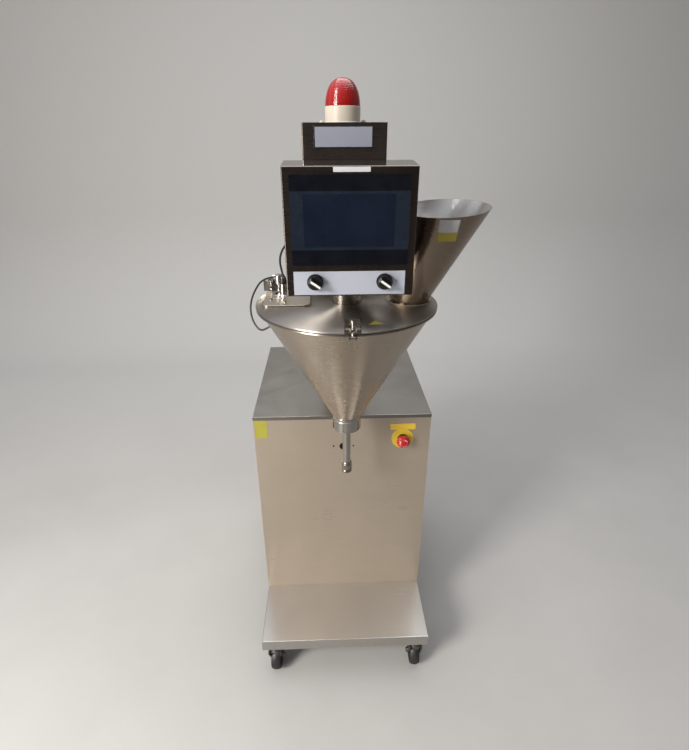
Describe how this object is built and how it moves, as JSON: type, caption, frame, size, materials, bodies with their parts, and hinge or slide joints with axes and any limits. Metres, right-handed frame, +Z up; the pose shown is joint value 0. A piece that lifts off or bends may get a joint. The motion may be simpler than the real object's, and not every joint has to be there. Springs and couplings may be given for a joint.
{
  "type": "auger powder filler",
  "caption": "Wheeled auger powder filler: conical hopper with lid and feed funnel, fill tube, touch panel, beacon and stop button on a stainless cabinet.",
  "frame": {"origin": "centre of the bounding box at floor level", "axes": "+Z up, the operator's side faces -Y, +X to the operator's right"},
  "size_m": [0.5381, 0.824, 1.5245],
  "materials": {
    "base_cream": "satin",
    "bearing_steel": "polished",
    "button_red": "gloss",
    "cable_black": "matte",
    "chrome_fitting": "polished",
    "controls_grey": "satin",
    "gasket_black": "matte",
    "label_yellow": "satin",
    "lamp_warm": "gloss",
    "lens_red": "gloss",
    "motor_black": "satin",
    "panel_glass_black": "gloss",
    "plastic_black": "gloss",
    "rubber_black": "matte",
    "screen_dark": "gloss",
    "stainless_bright": "polished",
    "stainless_hopper": "satin",
    "stainless_panel": "satin",
    "switch_plate_silver": "satin",
    "zinc_plated": "satin"
  },
  "bodies": {
    "machine": {"base_tray": "stainless_panel", "base_frame": "zinc_plated", "caster_swivels": "zinc_plated", "cabinet_shell": "stainless_panel", "front_panel": "stainless_panel", "top_cover": "stainless_panel", "door_hinges": "zinc_plated", "mounting_plate": "zinc_plated", "control_units": "controls_grey", "sockets": "plastic_black", "estop_legend": "label_yellow", "contact_blocks": "plastic_black", "column": "stainless_panel", "drive_housing": "stainless_panel", "servo_motor": "motor_black", "agitator_motor": "motor_black", "bearing_housing": "bearing_steel", "shaft_bearings": "bearing_steel", "hopper_lid": "stainless_hopper", "lid_lugs": "stainless_bright", "feed_funnel": "stainless_hopper", "level_sensor": "chrome_fitting", "interlock_switch": "chrome_fitting", "control_box": "stainless_panel", "box_rear_cover": "stainless_panel", "hmi_bezel": "panel_glass_black", "hmi_screen": "screen_dark", "switch_plate": "switch_plate_silver", "beacon_base": "base_cream", "beacon_dome": "lens_red", "beacon_lamp": "lamp_warm", "hopper_cone": "stainless_hopper", "hopper_gasket": "gasket_black", "cone_lugs": "stainless_bright", "union_nut": "stainless_bright", "fill_tube": "stainless_bright", "tip_collar": "stainless_bright", "sensor_plug": "plastic_black", "cable_sensor": "cable_black", "cable_loop": "cable_black"},
    "swivel_fl": {"fork_fl": "zinc_plated"},
    "roller_fl": {"wheel_fl": "rubber_black"},
    "swivel_fr": {"fork_fr": "zinc_plated"},
    "roller_fr": {"wheel_fr": "rubber_black"},
    "swivel_rl": {"fork_rl": "zinc_plated"},
    "roller_rl": {"wheel_rl": "rubber_black"},
    "swivel_rr": {"fork_rr": "zinc_plated"},
    "roller_rr": {"wheel_rr": "rubber_black"},
    "door": {"rear_door": "stainless_panel"},
    "latch": {"door_latch": "plastic_black"},
    "estop": {"estop_button": "button_red"},
    "knob_l": {"knob_left": "plastic_black"},
    "knob_r": {"knob_right": "plastic_black"},
    "auger_shaft": {"auger": "stainless_bright", "shaft_coupling": "bearing_steel"},
    "stirrer": {"agitator": "stainless_bright"},
    "pinion": {"agitator_pinion": "bearing_steel"},
    "clamp_front": {"swing_bolt_front": "stainless_bright"},
    "clamp_right": {"swing_bolt_right": "stainless_bright"},
    "clamp_left": {"swing_bolt_left": "stainless_bright"}
  },
  "joints": [
    {"name": "caster_swivel_fl", "type": "hinge", "parent": "machine", "child": "swivel_fl", "pos_m": [-0.23214, -0.28679, 0.09], "axis": [0, 0, 1], "continuous": true},
    {"name": "caster_roll_fl", "type": "hinge", "parent": "swivel_fl", "child": "roller_fl", "pos_m": [-0.23102, -0.27083, 0.04], "axis": [-0.9976, 0.0698, 0], "continuous": true},
    {"name": "caster_swivel_fr", "type": "hinge", "parent": "machine", "child": "swivel_fr", "pos_m": [0.17586, -0.28679, 0.09], "axis": [0, 0, 1], "continuous": true},
    {"name": "caster_roll_fr", "type": "hinge", "parent": "swivel_fr", "child": "roller_fr", "pos_m": [0.17642, -0.2708, 0.04], "axis": [-0.9994, 0.0349, 0], "continuous": true},
    {"name": "caster_swivel_rl", "type": "hinge", "parent": "machine", "child": "swivel_rl", "pos_m": [-0.23214, 0.35621, 0.09], "axis": [0, 0, 1], "continuous": true},
    {"name": "caster_roll_rl", "type": "hinge", "parent": "swivel_rl", "child": "roller_rl", "pos_m": [-0.22991, 0.37205, 0.04], "axis": [-0.9903, 0.1392, 0], "continuous": true},
    {"name": "caster_swivel_rr", "type": "hinge", "parent": "machine", "child": "swivel_rr", "pos_m": [0.17586, 0.35621, 0.09], "axis": [0, 0, 1], "continuous": true},
    {"name": "caster_roll_rr", "type": "hinge", "parent": "swivel_rr", "child": "roller_rr", "pos_m": [0.17726, 0.37215, 0.04], "axis": [-0.9962, 0.0872, 0], "continuous": true},
    {"name": "rear_door_hinge", "type": "hinge", "parent": "machine", "child": "door", "pos_m": [-0.25914, 0.38721, 0.445], "axis": [0, 0, 1], "range_deg": [0, 110]},
    {"name": "door_latch_turn", "type": "hinge", "parent": "door", "child": "latch", "pos_m": [0.17486, 0.38321, 0.445], "axis": [0, 1, 0], "range_deg": [0, 90]},
    {"name": "estop_push", "type": "slide", "parent": "machine", "child": "estop", "axis": [0, 1, 0], "range_m": [0, 0.004], "stiffness_N_per_m": 1500, "springref_m": -0.002},
    {"name": "knob_left_turn", "type": "hinge", "parent": "machine", "child": "knob_l", "pos_m": [-0.08314, -0.38579, 1.1975], "axis": [0, 1, 0], "range_deg": [0, 90]},
    {"name": "knob_right_turn", "type": "hinge", "parent": "machine", "child": "knob_r", "pos_m": [0.03986, -0.38579, 1.1975], "axis": [0, 1, 0], "range_deg": [0, 90]},
    {"name": "auger_spin", "type": "hinge", "parent": "machine", "child": "auger_shaft", "pos_m": [-0.02114, -0.20579, 0.9], "axis": [0, 0, 1], "continuous": true},
    {"name": "stirrer_spin", "type": "hinge", "parent": "machine", "child": "stirrer", "pos_m": [-0.02114, -0.20579, 1.1], "axis": [0, 0, 1], "continuous": true},
    {"name": "pinion_spin", "type": "hinge", "parent": "machine", "child": "pinion", "pos_m": [-0.07514, -0.20579, 1.18], "axis": [0, 0, 1], "continuous": true},
    {"name": "clamp_swing_front", "type": "hinge", "parent": "machine", "child": "clamp_front", "pos_m": [-0.01765, -0.40576, 1.101], "axis": [0.9998, 0.0175, 0], "range_deg": [0, 95]},
    {"name": "clamp_swing_right", "type": "hinge", "parent": "machine", "child": "clamp_right", "pos_m": [0.1503, -0.10278, 1.101], "axis": [-0.515, 0.8572, 0], "range_deg": [0, 95]},
    {"name": "clamp_swing_left", "type": "hinge", "parent": "machine", "child": "clamp_left", "pos_m": [-0.19606, -0.10883, 1.101], "axis": [-0.4848, -0.8746, 0], "range_deg": [0, 95]}
  ],
  "couplings": [
    {"joint": "pinion_spin", "follows": "stirrer_spin", "ratio": -2}
  ]
}
